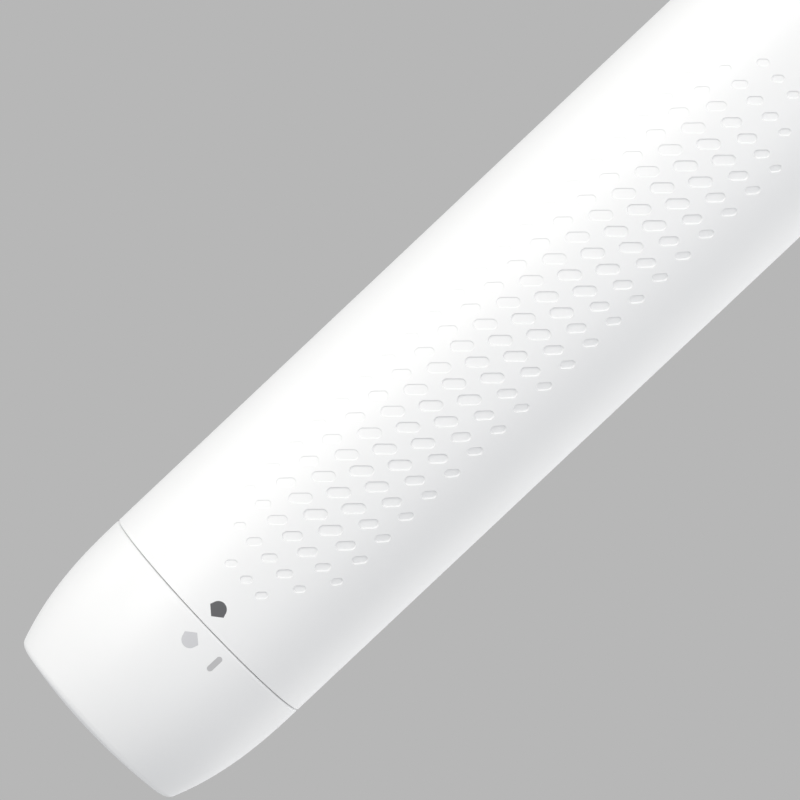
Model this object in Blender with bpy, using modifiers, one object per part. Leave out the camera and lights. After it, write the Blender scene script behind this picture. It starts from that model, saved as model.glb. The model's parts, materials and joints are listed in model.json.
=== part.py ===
"""Telescopic white cane with an electronic handle, standing collapsed with its tip on z = 0.

The cane's axis is +Z, with the tip down and the twist-lock end cap up. The grip field and the
cap's index marks face -Y, and the button and the obstacle sensors face +Y.
Lengths are metres. Stations along the handle are given as a depth below the cap's seam.
"""

import math

import bmesh
import bpy
from mathutils import Matrix, Vector

MM = 0.001
GAP = 0.3 * MM  # between pieces that rest face to face
FIT = 0.15 * MM  # radial play of a bonded or sliding fit

ROUND = 48  # sides of the handle's large turned pieces
SLIM = 24  # sides of tubes, collars and small turned pieces

# Handle
SEAM_Z = 540 * MM
GRIP_R = 17 * MM
GRIP_WALL = 2.2 * MM
GRIP_BORE = GRIP_R - GRIP_WALL
GRIP_LENGTH = 176 * MM
NOSE_LENGTH = 14 * MM
NOSE_END_R = 11.8 * MM
INNER_R = GRIP_BORE - GAP  # pieces that slide into the grip shell

# End cap: its wall follows radius = GRIP_R - CAP_DROP * (height / CAP_LENGTH) ** CAP_POWER
CAP_LENGTH = 20.6 * MM
CAP_DROP = 3.25 * MM
CAP_POWER = 2.6
CAP_EDGE = 0.9 * MM
CAP_CROWN = 0.9 * MM
CAP_WIDE_BORE = 15.3 * MM
CAP_WIDE_DEPTH = 10 * MM
CAP_NARROW_BORE = 12 * MM
CAP_CEILING = 17.6 * MM

# Index marks beside the seam
MARK_R = 1.1 * MM
MARK_REACH = 1.42 * MM
MARK_BELOW_SEAM = 2.61 * MM
MARK_ABOVE_SEAM = 2.68 * MM
BAR_LENGTH = 2.45 * MM
BAR_WIDTH = 0.83 * MM
MARK_DEPTH = 0.5 * MM
CAP_TWIST = math.radians(16.5)
CLOSED_MARK_TURN = math.radians(1)

# Battery bay and bayonet
CELL_R = 9.2 * MM
CELL_LENGTH = 65 * MM
CELL_TOP = 8 * MM  # above the seam
NECK_R = 13.2 * MM
NECK_TOP = 9 * MM
LUG_R = 14.4 * MM
TAB_R = 13.5 * MM
LUG_COUNT = 4
LUG_ARC = math.radians(14)
LUG_BASE = 5.5 * MM
LUG_HEIGHT = 2 * MM
TAB_BASE = 3.2 * MM
SPRING_WIRE = 0.5 * MM
SPRING_TURNS = 4

# Electronics
BOARD_WIDTH = 21 * MM
BOARD_LENGTH = 48 * MM
BOARD_THICKNESS = 1.6 * MM
BOARD_Y = 6.4 * MM
BOARD_MIDDLE = 91 * MM  # below the seam
FRAME_LENGTH = 53.4 * MM
SPINE_BACK = -1 * MM  # the frame's spine, between two distances along +Y
SPINE_FRONT = 2 * MM
BUTTON_DEPTH = 84 * MM
BUTTON_R = 6 * MM
BUTTON_TRAVEL = 0.8 * MM
LIGHT_DEPTH = 72 * MM
LIGHT_R = 1.1 * MM
SENSOR_MIDDLE = 147 * MM
SENSOR_SPACING = 17 * MM
SENSOR_R = 4.2 * MM
SENSOR_WINDOW_R = 4.5 * MM
COVER_LENGTH = 34 * MM
COVER_WIDTH = 13.4 * MM

# Shaft: four nested tubes, largest first
TUBE_R = [9.5 * MM, 8.1 * MM, 6.7 * MM, 5.3 * MM]
TUBE_WALL = 0.7 * MM
TUBE_BOTTOM = [150 * MM, 112 * MM, 74 * MM, 41 * MM]
TUBE_TOP_STEP = 22 * MM
TUBE_TOP = [414 * MM - TUBE_TOP_STEP * stage for stage in range(4)]
PLUG_HEAD = 12 * MM
PLUG_SPIGOT = 8 * MM
COLLET_SLEEVE = 1.3 * MM  # wall over the tube
COLLET_FINGER = 0.7 * MM
COLLAR_WALL = 3 * MM
COLLAR_ABOVE = 15 * MM
COLLAR_BELOW = 14 * MM

# Rolling tip
TIP_R = 13 * MM
TIP_LENGTH = 38 * MM
TIP_FLAT_R = 4.5 * MM
TIP_BORE_R = 7 * MM
TIP_BORE_FLOOR = 12 * MM
BEARING_R = 6.8 * MM
BEARING_BORE = 2.7 * MM
BEARING_HEIGHT = 5 * MM
SPINDLE_R = 2.5 * MM
FERRULE_R = 7.2 * MM
FERRULE_TOP = 51 * MM

# Colour, roughness and metallic value of each finish
FINISHES = {
    "white_shell": ((0.90, 0.90, 0.91), 0.32, 0.0),
    "dark_ink": ((0.12, 0.12, 0.13), 0.45, 0.0),
    "grey_ink": ((0.62, 0.62, 0.64), 0.45, 0.0),
    "white_tube": ((0.88, 0.88, 0.87), 0.25, 0.0),
    "red_tube": ((0.62, 0.02, 0.02), 0.28, 0.0),
    "reflective": ((0.80, 0.82, 0.83), 0.2, 0.3),
    "grey_nylon": ((0.30, 0.31, 0.33), 0.5, 0.0),
    "white_nylon": ((0.86, 0.86, 0.84), 0.45, 0.0),
    "black_plastic": ((0.03, 0.03, 0.035), 0.35, 0.0),
    "rubber": ((0.05, 0.05, 0.05), 0.8, 0.0),
    "steel": ((0.62, 0.62, 0.63), 0.3, 1.0),
    "brass": ((0.75, 0.58, 0.28), 0.3, 1.0),
    "board_green": ((0.03, 0.22, 0.10), 0.45, 0.0),
    "cell_wrap": ((0.10, 0.33, 0.42), 0.35, 0.0),
    "light_pipe": ((0.80, 0.90, 0.85), 0.1, 0.0),
}


def below_seam(depth):
    return SEAM_Z - depth


# Scene helpers


def clear_scene():
    for obj in list(bpy.data.objects):
        bpy.data.objects.remove(obj, do_unlink=True)


def new_collection(name):
    collection = bpy.data.collections.new(name)
    bpy.context.scene.collection.children.link(collection)
    return collection


def material(finish):
    found = bpy.data.materials.get(finish)
    if found:
        return found
    colour, roughness, metallic = FINISHES[finish]
    made = bpy.data.materials.new(finish)
    made.use_nodes = True
    shader = made.node_tree.nodes["Principled BSDF"]
    shader.inputs["Base Color"].default_value = (*colour, 1)
    shader.inputs["Roughness"].default_value = roughness
    shader.inputs["Metallic"].default_value = metallic
    return made


def link(obj, finish, body):
    """Puts a piece in the cane's collection, under the empty of the body that it moves with."""
    cane.objects.link(obj)
    obj.data.materials.append(material(finish))
    obj.parent = body
    obj.matrix_parent_inverse = body.matrix_world.inverted()
    return obj


def helper(obj):
    """Keeps a cutter out of the render and out of the build."""
    cutters.objects.link(obj)
    obj.hide_render = True
    obj.display_type = "WIRE"
    return obj


def body_empty(name, z, parent=None):
    """The empty that a moving body hangs from, on the cane's axis."""
    empty = bpy.data.objects.new(name, None)
    cane.objects.link(empty)
    empty.location = (0, 0, z)
    bpy.context.view_layer.update()
    if parent:
        empty.parent = parent
        empty.matrix_parent_inverse = parent.matrix_world.inverted()
        bpy.context.view_layer.update()
    return empty


# Shape helpers


def turned_object(name, profile, sides, bored):
    """A turned shape. The profile runs down the outer side, and up the bore if there is one."""
    mesh = bpy.data.meshes.new(name)
    count = len(profile)
    edges = [(i, i + 1) for i in range(count - 1)]
    if bored:
        edges.append((count - 1, 0))
    mesh.from_pydata([(radius, 0, z) for radius, z in profile], edges, [])
    obj = bpy.data.objects.new(name, mesh)
    screw = obj.modifiers.new("Turn", "SCREW")
    screw.axis = "Z"
    screw.angle = math.tau
    screw.steps = sides
    screw.render_steps = sides
    screw.use_merge_vertices = True
    screw.merge_threshold = 0.00001
    return obj


def turned(name, profile, finish, body, sides=SLIM):
    """A solid turned piece whose profile starts and ends on the axis."""
    return link(turned_object(name, profile, sides, False), finish, body)


def bored(name, profile, finish, body, sides=SLIM):
    """A turned piece with a bore."""
    return link(turned_object(name, profile, sides, True), finish, body)


def tube_profile(outer, inner, low, high):
    return [(outer, high), (outer, low), (inner, low), (inner, high)]


def disc_profile(radius, low, high):
    return [(0, high), (radius, high), (radius, low), (0, low)]


def mesh_object(name, build):
    mesh = bpy.data.meshes.new(name)
    made = bmesh.new()
    build(made)
    bmesh.ops.recalc_face_normals(made, faces=made.faces)
    made.to_mesh(mesh)
    made.free()
    return bpy.data.objects.new(name, mesh)


def box_object(name, size, centre):
    def build(made):
        placed = Matrix.Translation(Vector(centre)) @ Matrix.Diagonal((*size, 1))
        bmesh.ops.create_cube(made, size=1, matrix=placed)

    return mesh_object(name, build)


def rod_object(name, radius, start, end, sides=32):
    """A cylinder between two points."""
    start, end = Vector(start), Vector(end)

    def build(made):
        turn = (end - start).to_track_quat("Z", "Y").to_matrix().to_4x4()
        placed = Matrix.Translation((start + end) / 2) @ turn
        bmesh.ops.create_cone(
            made,
            cap_ends=True,
            segments=sides,
            radius1=radius,
            radius2=radius,
            depth=(end - start).length,
            matrix=placed,
        )

    return mesh_object(name, build)


def radial_rod(name, radius, near, far, z, x=0.0, sides=32):
    """A cylinder that points away from the cane's axis, along +Y."""
    return rod_object(name, radius, (x, near, z), (x, far, z), sides)


def plate_object(name, outline, near, far, z, turn=0.0):
    """A flat outline of (x, z) points around height z, extruded between two distances from the
    axis along +Y, and then turned about the cane's axis."""
    curve = bpy.data.curves.new(name, "CURVE")
    curve.dimensions = "2D"
    curve.fill_mode = "BOTH"
    curve.extrude = (far - near) / 2
    spline = curve.splines.new("POLY")
    spline.points.add(len(outline) - 1)
    for point, (x, y) in zip(spline.points, outline):
        point.co = (x, y, 0, 1)
    spline.use_cyclic_u = True
    drawn = bpy.data.objects.new(name, curve)
    bpy.context.scene.collection.objects.link(drawn)
    graph = bpy.context.evaluated_depsgraph_get()
    mesh = bpy.data.meshes.new_from_object(drawn.evaluated_get(graph))
    bpy.data.objects.remove(drawn, do_unlink=True)
    made = bmesh.new()
    made.from_mesh(mesh)
    bmesh.ops.remove_doubles(made, verts=made.verts, dist=0.000001)
    bmesh.ops.recalc_face_normals(made, faces=made.faces)
    stand = Matrix.Rotation(math.pi / 2, 4, "X")
    out = Matrix.Translation((0, (near + far) / 2, z))
    made.transform(Matrix.Rotation(turn, 4, "Z") @ out @ stand)
    made.to_mesh(mesh)
    made.free()
    mesh.materials.clear()
    return bpy.data.objects.new(name, mesh)


def boolean(obj, other, operation="DIFFERENCE"):
    modifier = obj.modifiers.new(operation.title(), "BOOLEAN")
    modifier.operation = operation
    modifier.object = other
    return obj


def arc(centre_x, centre_y, radius, start, end, steps):
    """Points on an arc, angles in degrees."""
    angles = [math.radians(start + (end - start) * i / steps) for i in range(steps + 1)]
    return [
        (centre_x + radius * math.cos(a), centre_y + radius * math.sin(a))
        for a in angles
    ]


def stadium(length, width, steps=10):
    """A round-ended slot outline that stands along the cane."""
    radius = width / 2
    middle = (length - width) / 2
    return arc(0, middle, radius, 0, 180, steps) + arc(0, -middle, radius, 180, 360, steps)


def drop_mark(grow, point):
    """The index mark: a disc with one corner, which points towards +1 or -1 along the cane."""
    outline = arc(0, 0, MARK_R + grow, 158, 382, 14) + [(0, MARK_REACH + grow)]
    return [(x, y * point) for x, y in outline]


def cap_radius(height):
    return GRIP_R - CAP_DROP * (height / CAP_LENGTH) ** CAP_POWER


# Handle


def make_grip_shell(handle):
    shell = bored(
        "grip_shell",
        tube_profile(GRIP_R, GRIP_BORE, below_seam(GRIP_LENGTH), below_seam(0.1 * MM)),
        "white_shell",
        handle,
        ROUND,
    )
    outside = GRIP_R + 2 * MM
    button_z = below_seam(BUTTON_DEPTH)
    light_z = below_seam(LIGHT_DEPTH)
    bore_start = GRIP_BORE - 3 * MM
    cuts = [
        radial_rod("button_hole", BUTTON_R + GAP, bore_start, outside, button_z),
        radial_rod("light_hole", LIGHT_R + GAP, bore_start, outside, light_z, sides=16),
        plate_object(
            "cover_opening",
            stadium(COVER_LENGTH + 2 * GAP, COVER_WIDTH + 2 * GAP),
            GRIP_BORE - 5 * MM,
            outside,
            below_seam(SENSOR_MIDDLE),
        ),
        plate_object(
            "pointer_pocket",
            drop_mark(0.1 * MM, 1),
            GRIP_R - MARK_DEPTH - 0.1 * MM,
            outside,
            below_seam(MARK_BELOW_SEAM),
            math.pi,
        ),
    ]
    for cutter in cuts:
        boolean(shell, helper(cutter))


def make_nose_cone(handle):
    top = below_seam(GRIP_LENGTH) - GAP / 2
    end = top - NOSE_LENGTH
    bore = TUBE_R[0] + FIT
    profile = [
        (INNER_R, top + 8 * MM),
        (INNER_R, top),
        (GRIP_R, top),
        (GRIP_R, top - 2 * MM),
        (GRIP_R - 1.2 * MM, top - 6 * MM),
        (NOSE_END_R + 1.2 * MM, end + 2 * MM),
        (NOSE_END_R, end),
        (bore, end),
        (bore, top + 8 * MM),
    ]
    bored("nose_cone", profile, "white_shell", handle, ROUND)


def make_shaft_socket(handle):
    """The spool that carries the largest tube inside the handle, between two flanges."""
    low = below_seam(167.5 * MM)
    high = below_seam(122 * MM)
    flange = 2.5 * MM
    sleeve = 11 * MM
    bore = TUBE_R[0] + FIT
    profile = [
        (INNER_R, high),
        (INNER_R, high - flange),
        (sleeve, high - flange),
        (sleeve, low + flange),
        (INNER_R, low + flange),
        (INNER_R, low),
        (bore, low),
        (bore, high),
    ]
    bored("shaft_socket", profile, "grey_nylon", handle)


def make_pointer_mark(handle):
    mark = plate_object(
        "pointer_mark",
        drop_mark(0, 1),
        GRIP_R - MARK_DEPTH,
        GRIP_R + 1 * MM,
        below_seam(MARK_BELOW_SEAM),
        math.pi,
    )
    skin = helper(
        turned_object(
            "pointer_skin",
            disc_profile(GRIP_R, below_seam(8 * MM), below_seam(-8 * MM)),
            ROUND,
            False,
        )
    )
    link(boolean(mark, skin, "INTERSECT"), "dark_ink", handle)


# End cap and battery bay


def make_end_cap(cap):
    heights = [CAP_LENGTH * i / 9 for i in range(9)]
    wall = [(cap_radius(height), SEAM_Z + height) for height in heights]
    wall[0] = (GRIP_R, SEAM_Z + 0.1 * MM)
    rim = cap_radius(CAP_LENGTH) - CAP_EDGE
    edge = [
        (rim + x, SEAM_Z + CAP_LENGTH - CAP_EDGE + y) for x, y in arc(0, 0, CAP_EDGE, 90, 0, 4)
    ]
    crown = [
        (rim * i / 4, SEAM_Z + CAP_LENGTH + CAP_CROWN * (1 - (i / 4) ** 2)) for i in range(4)
    ]
    inside = [
        (CAP_WIDE_BORE, SEAM_Z + 0.1 * MM),
        (CAP_WIDE_BORE, SEAM_Z + CAP_WIDE_DEPTH),
        (CAP_NARROW_BORE, SEAM_Z + CAP_WIDE_DEPTH + 1 * MM),
        (CAP_NARROW_BORE, SEAM_Z + CAP_CEILING),
        (0, SEAM_Z + CAP_CEILING),
    ]
    profile = crown + edge + wall[:0:-1] + wall[:1] + inside
    shell = turned("end_cap", profile, "white_shell", cap, ROUND)
    z = SEAM_Z + MARK_ABOVE_SEAM
    floor = GRIP_R - MARK_DEPTH - 0.1 * MM
    for name, outline, turn in (
        ("closed_pocket", drop_mark(0.1 * MM, -1), math.pi - CLOSED_MARK_TURN),
        ("open_pocket", stadium(BAR_LENGTH + 0.2 * MM, BAR_WIDTH + 0.2 * MM), math.pi - CAP_TWIST),
    ):
        boolean(shell, helper(plate_object(name, outline, floor, GRIP_R + 2 * MM, z, turn)))


def make_cap_marks(cap):
    z = SEAM_Z + MARK_ABOVE_SEAM
    skin = helper(
        turned_object(
            "cap_skin",
            disc_profile(cap_radius(MARK_ABOVE_SEAM), SEAM_Z, SEAM_Z + 6 * MM),
            ROUND,
            False,
        )
    )
    for name, outline, turn in (
        ("closed_mark", drop_mark(0, -1), math.pi - CLOSED_MARK_TURN),
        ("open_mark", stadium(BAR_LENGTH, BAR_WIDTH), math.pi - CAP_TWIST),
    ):
        mark = plate_object(name, outline, GRIP_R - MARK_DEPTH, GRIP_R + 1 * MM, z, turn)
        link(boolean(mark, skin, "INTERSECT"), "grey_ink", cap)


def bayonet_block(name, inner, outer, low, high, middle):
    """One lug or tab: a block that spans LUG_ARC around the axis."""
    steps = 4
    angles = [middle + LUG_ARC * (i / steps - 0.5) for i in range(steps + 1)]
    ring = [(outer * math.cos(a), outer * math.sin(a)) for a in angles]
    ring += [(inner * math.cos(a), inner * math.sin(a)) for a in reversed(angles)]

    def build(made):
        bottom = [made.verts.new((x, y, low)) for x, y in ring]
        top = [made.verts.new((x, y, high)) for x, y in ring]
        made.faces.new(bottom)
        made.faces.new(top)
        for i in range(len(ring)):
            j = (i + 1) % len(ring)
            made.faces.new([bottom[i], bottom[j], top[j], top[i]])

    return mesh_object(name, build)


def add_bayonet_blocks(ring, prefix, inner, outer, low):
    for i in range(LUG_COUNT):
        middle = math.tau * (i + 0.5) / LUG_COUNT
        block = bayonet_block(f"{prefix}_{i + 1}", inner, outer, low, low + LUG_HEIGHT, middle)
        boolean(ring, helper(block), "UNION")


def make_bayonet_ring(cap):
    outer = CAP_WIDE_BORE - FIT
    inner = LUG_R + GAP
    profile = tube_profile(outer, inner, SEAM_Z + 2.4 * MM, SEAM_Z + 9.6 * MM)
    ring = bored("cap_bayonet_ring", profile, "grey_nylon", cap)
    overlap = inner + 0.2 * MM
    add_bayonet_blocks(ring, "tab", TAB_R, overlap, SEAM_Z + TAB_BASE)


def make_battery_sleeve(handle):
    floor = SEAM_Z + CELL_TOP - CELL_LENGTH - 2 * MM
    bore = CELL_R + GAP
    profile = [
        (0, floor),
        (bore, floor),
        (bore, SEAM_Z + NECK_TOP),
        (NECK_R, SEAM_Z + NECK_TOP),
        (NECK_R, SEAM_Z + 0.2 * MM),
        (INNER_R, SEAM_Z + 0.2 * MM),
        (INNER_R, floor - 2.5 * MM),
        (0, floor - 2.5 * MM),
    ]
    sleeve = turned("battery_sleeve", profile, "grey_nylon", handle)
    add_bayonet_blocks(sleeve, "lug", NECK_R - 0.2 * MM, LUG_R, SEAM_Z + LUG_BASE)


def make_battery_pieces(handle, cap):
    cell_top = SEAM_Z + CELL_TOP
    cell_low = cell_top - CELL_LENGTH
    cell = [
        (0, cell_top),
        (CELL_R - 0.6 * MM, cell_top),
        (CELL_R, cell_top - 0.6 * MM),
        (CELL_R, cell_low + 2 * MM),
        (CELL_R - 0.6 * MM, cell_low + 1.4 * MM),
        (3 * MM, cell_low + 1.4 * MM),
        (3 * MM, cell_low),
        (0, cell_low),
    ]
    turned("battery_cell", cell, "cell_wrap", handle)
    contact = disc_profile(6 * MM, cell_low - 1.7 * MM, cell_low - GAP)
    turned("positive_contact", contact, "brass", handle)
    plate_low = SEAM_Z + CAP_CEILING - 1.1 * MM
    turned("cap_contact_plate", disc_profile(9 * MM, plate_low, plate_low + 0.8 * MM), "brass", cap)
    seal_low = SEAM_Z + 0.5 * MM
    seal = [
        (NECK_R + FIT + 0.75 * MM + x, seal_low + 0.75 * MM + y)
        for x, y in arc(0, 0, 0.75 * MM, 90, -225, 7)
    ]
    bored("cap_seal", seal, "rubber", handle)
    make_battery_spring(cap, cell_top + GAP, plate_low - GAP)


def make_battery_spring(cap, low, high):
    """A conical spring whose wide end sits on the contact plate."""
    curve = bpy.data.curves.new("battery_spring", "CURVE")
    curve.dimensions = "3D"
    curve.bevel_depth = SPRING_WIRE
    curve.bevel_resolution = 2
    curve.use_fill_caps = True
    points_a_turn = 14
    count = SPRING_TURNS * points_a_turn
    spline = curve.splines.new("POLY")
    spline.points.add(count)
    for i, point in enumerate(spline.points):
        share = i / count
        radius = 4 * MM + 4 * MM * share
        angle = math.tau * SPRING_TURNS * share
        z = low + SPRING_WIRE + (high - low - 2 * SPRING_WIRE) * share
        point.co = (radius * math.cos(angle), radius * math.sin(angle), z, 1)
    link(bpy.data.objects.new("battery_spring", curve), "steel", cap)


# Electronics


def make_frame(handle):
    """Two round bulkheads joined by a flat spine that carries the board."""
    low = below_seam(BOARD_MIDDLE + FRAME_LENGTH / 2)
    high = below_seam(BOARD_MIDDLE - FRAME_LENGTH / 2)
    disc = 2.2 * MM
    frame = turned(
        "electronics_frame", disc_profile(INNER_R, low, low + disc), "grey_nylon", handle
    )
    depth = SPINE_FRONT - SPINE_BACK
    size = (16 * MM, depth, high - low - 2 * MM)
    centre = (0, (SPINE_FRONT + SPINE_BACK) / 2, (high + low) / 2)
    boolean(frame, helper(box_object("frame_spine", size, centre)), "UNION")
    top_disc = turned_object("frame_top_disc", disc_profile(INNER_R, high - disc, high), SLIM, False)
    boolean(frame, helper(top_disc), "UNION")
    return frame


def fix_board(frame, board, handle):
    """Two screws that hold the board to posts on the frame."""
    front = BOARD_Y + BOARD_THICKNESS
    x = -7 * MM
    for i, side in enumerate((1, -1)):
        z = below_seam(BOARD_MIDDLE - side * (BOARD_LENGTH / 2 - 4 * MM))
        post = radial_rod(f"frame_post_{i + 1}", 2.2 * MM, SPINE_FRONT - 1 * MM, BOARD_Y - GAP, z, x)
        boolean(frame, helper(post), "UNION")
        bore = radial_rod(f"post_bore_{i + 1}", 1.1 * MM, 1 * MM, BOARD_Y + 1 * MM, z, x, 16)
        boolean(frame, helper(bore))
        hole = radial_rod(f"board_hole_{i + 1}", 1.1 * MM, BOARD_Y - 1 * MM, front + 1 * MM, z, x, 16)
        boolean(board, helper(hole))
        screw = radial_rod(f"board_screw_{i + 1}", 0.9 * MM, 1.5 * MM, front + 1 * MM, z, x, 16)
        head = radial_rod(f"screw_head_{i + 1}", 1.7 * MM, front + 0.1 * MM, front + 1.3 * MM, z, x, 16)
        boolean(screw, helper(head), "UNION")
        link(screw, "steel", handle)


def make_electronics(handle, button):
    frame = make_frame(handle)
    front = BOARD_Y + BOARD_THICKNESS
    middle = below_seam(BOARD_MIDDLE)
    size = (BOARD_WIDTH, BOARD_THICKNESS, BOARD_LENGTH)
    board = box_object("control_board", size, (0, (BOARD_Y + front) / 2, middle))
    link(board, "board_green", handle)
    fix_board(frame, board, handle)
    button_z = below_seam(BUTTON_DEPTH)
    for name, side, height, z in (
        ("tactile_switch", 6 * MM, 2 * MM, button_z),
        ("processor_chip", 7 * MM, 1 * MM, below_seam(103 * MM)),
    ):
        centre = (0, front + 0.1 * MM + height / 2, z)
        link(box_object(name, (side, height, side), centre), "black_plastic", handle)
    motor_back = SPINE_BACK - GAP
    motor = radial_rod("vibration_motor", 5 * MM, motor_back - 3.2 * MM, motor_back, middle)
    link(motor, "steel", handle)
    make_power_button(button, button_z)
    light_z = below_seam(LIGHT_DEPTH)
    tip = GRIP_R - 0.05 * MM
    light = radial_rod("status_light", LIGHT_R, front + 0.5 * MM, tip, light_z, sides=16)
    link(light, "light_pipe", handle)


def make_power_button(button, z):
    """A round button whose face follows the grip, kept in by a flange inside the shell."""
    flange_front = 12.3 * MM
    key = radial_rod("power_button", BUTTON_R, flange_front - 0.5 * MM, GRIP_R + 2 * MM, z)
    around = disc_profile(GRIP_R - 0.1 * MM, z - 9 * MM, z + 9 * MM)
    face = helper(turned_object("button_face", around, ROUND, False))
    boolean(key, face, "INTERSECT")
    flange = radial_rod("button_flange", 7.2 * MM, flange_front - 1 * MM, flange_front, z)
    boolean(key, helper(flange), "UNION")
    link(key, "grey_nylon", button)


def make_sensors(handle):
    """A cover flush with the grip, with a window over each of the two sensor cans."""
    middle = below_seam(SENSOR_MIDDLE)
    outline = stadium(COVER_LENGTH, COVER_WIDTH)
    cover = plate_object("sensor_cover", outline, GRIP_BORE - 4 * MM, GRIP_R + 1 * MM, middle)
    wall = tube_profile(GRIP_R, GRIP_BORE + GAP, middle - 30 * MM, middle + 30 * MM)
    boolean(cover, helper(turned_object("cover_wall", wall, ROUND, True)), "INTERSECT")
    for name, side in (("sensor_transmitter", 1), ("sensor_receiver", -1)):
        z = middle + side * SENSOR_SPACING / 2
        window = radial_rod(
            f"{name}_window", SENSOR_WINDOW_R, GRIP_BORE - 5 * MM, GRIP_R + 2 * MM, z
        )
        boolean(cover, helper(window))
        link(radial_rod(name, SENSOR_R, 11.4 * MM, 16.1 * MM, z), "steel", handle)
    link(cover, "black_plastic", handle)


# Shaft


def make_tubes(bodies):
    for stage, radius in enumerate(TUBE_R):
        number = stage + 1
        low, high = TUBE_BOTTOM[stage], TUBE_TOP[stage]
        bore = radius - TUBE_WALL
        finish = "red_tube" if number == len(TUBE_R) else "white_tube"
        body = bodies[stage]
        bored(f"shaft_tube_{number}", tube_profile(radius, bore, low, high), finish, body)
        if stage == 0:
            head_r, head = radius, 3 * MM
        else:
            head_r, head = TUBE_R[stage - 1] - TUBE_WALL - FIT, PLUG_HEAD
        plug = [
            (0, high + head),
            (head_r, high + head),
            (head_r, high + GAP),
            (bore - FIT, high + GAP),
            (bore - FIT, high - PLUG_SPIGOT),
            (0, high - PLUG_SPIGOT),
        ]
        name = "tube_end_plug" if stage == 0 else f"guide_bush_{number}"
        turned(name, plug, "white_nylon", body)


def make_lock(stage, tube_body, collar_body):
    """The split collet on a tube's lower end and the twist collar that squeezes it."""
    number = stage + 1
    low = TUBE_BOTTOM[stage]
    radius = TUBE_R[stage]
    inner_tube = TUBE_R[stage + 1]
    sleeve_r = radius + COLLET_SLEEVE
    finger_r = radius + COLLET_FINGER
    shoulder = low - 2.5 * MM
    finger_end = low - 12 * MM
    collet = [
        (sleeve_r, low + COLLAR_ABOVE + 0.6 * MM),
        (sleeve_r, shoulder),
        (finger_r, shoulder),
        (finger_r, finger_end),
        (inner_tube + 0.25 * MM, finger_end),
        (inner_tube + 0.25 * MM, low - GAP),
        (radius + FIT, low - GAP),
        (radius + FIT, low + COLLAR_ABOVE + 0.6 * MM),
    ]
    piece = bored(f"collet_{number}", collet, "grey_nylon", tube_body)
    slit_height = 8 * MM
    for i, size in enumerate(((30 * MM, 1 * MM, slit_height), (1 * MM, 30 * MM, slit_height))):
        middle = (0, 0, finger_end + slit_height / 2 - 0.5 * MM)
        boolean(piece, helper(box_object(f"collet_{number}_slit_{i + 1}", size, middle)))
    outer = radius + COLLAR_WALL
    top = low + COLLAR_ABOVE
    bottom = low - COLLAR_BELOW
    wide = sleeve_r + FIT
    narrow = finger_r + FIT
    collar = [
        (outer - 0.8 * MM, top),
        (outer, top - 0.8 * MM),
        (outer, bottom + 4 * MM),
        (outer - 1.6 * MM, bottom),
        (inner_tube + 0.35 * MM, bottom),
        (inner_tube + 0.35 * MM, finger_end - GAP),
        (narrow, finger_end - GAP),
        (narrow, shoulder - GAP),
        (wide, shoulder - GAP),
        (wide, top),
    ]
    bored(f"lock_collar_{number}", collar, "grey_nylon", collar_body)


def make_reflective_band(handle):
    inner = TUBE_R[0] + 0.05 * MM
    band = tube_profile(inner + 0.25 * MM, inner, 190 * MM, 235 * MM)
    bored("reflective_band", band, "reflective", handle)


# Tip


def make_tip(last_tube, roller):
    bearing_top = TIP_LENGTH - 3 * MM
    bearing_low = TIP_BORE_FLOOR + 2.5 * MM
    shoulder = TIP_LENGTH + 0.6 * MM
    tube_low = TUBE_BOTTOM[-1]
    ferrule = [
        (FERRULE_R - 0.8 * MM, FERRULE_TOP),
        (FERRULE_R, FERRULE_TOP - 1.5 * MM),
        (FERRULE_R + 1.5 * MM, shoulder),
        (SPINDLE_R + FIT, shoulder),
        (SPINDLE_R + FIT, tube_low - GAP),
        (TUBE_R[-1] + FIT, tube_low - GAP),
        (TUBE_R[-1] + FIT, FERRULE_TOP),
    ]
    bored("tip_ferrule", ferrule, "grey_nylon", last_tube)
    spindle = [
        (0, tube_low + 12 * MM),
        (TUBE_R[-1] - TUBE_WALL - FIT, tube_low + 12 * MM),
        (TUBE_R[-1] - TUBE_WALL - FIT, tube_low + 0.2 * MM),
        (SPINDLE_R, tube_low + 0.2 * MM),
        (SPINDLE_R, bearing_low - 0.3 * MM),
        (0, bearing_low - 0.3 * MM),
    ]
    turned("tip_spindle", spindle, "steel", last_tube)
    retainer_top = bearing_low - 0.6 * MM
    retainer = disc_profile(4 * MM, retainer_top - 1.2 * MM, retainer_top)
    turned("tip_retaining_screw", retainer, "steel", last_tube)
    for name, top in (
        ("tip_bearing_upper", bearing_top),
        ("tip_bearing_lower", bearing_low + BEARING_HEIGHT),
    ):
        race = tube_profile(BEARING_R, BEARING_BORE, top - BEARING_HEIGHT, top)
        bored(name, race, "steel", last_tube)
    make_roller(roller, bearing_top)


def make_roller(roller, bearing_top):
    """The barrel-shaped nylon tip, open at the top for its bearings."""
    lower = arc(TIP_FLAT_R, 14 * MM, 14 * MM, 270, 360, 6)
    stretch = (TIP_R - TIP_FLAT_R) / (14 * MM)
    bottom = [(TIP_FLAT_R + (x - TIP_FLAT_R) * stretch, y) for x, y in lower]
    side = [
        (TIP_R, 26 * MM),
        (TIP_R - 0.8 * MM, 32 * MM),
        (TIP_R - 3 * MM, 36.6 * MM),
        (TIP_R - 4.4 * MM, TIP_LENGTH),
    ]
    mouth = TIP_BORE_R + 0.8 * MM
    inside = [
        (0, TIP_BORE_FLOOR),
        (TIP_BORE_R, TIP_BORE_FLOOR),
        (TIP_BORE_R, bearing_top + GAP),
        (mouth, bearing_top + 1 * MM),
        (mouth, TIP_LENGTH),
    ]
    profile = inside + side[::-1] + bottom[::-1] + [(0, 0)]
    turned("tip_roller", profile, "white_nylon", roller)


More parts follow.
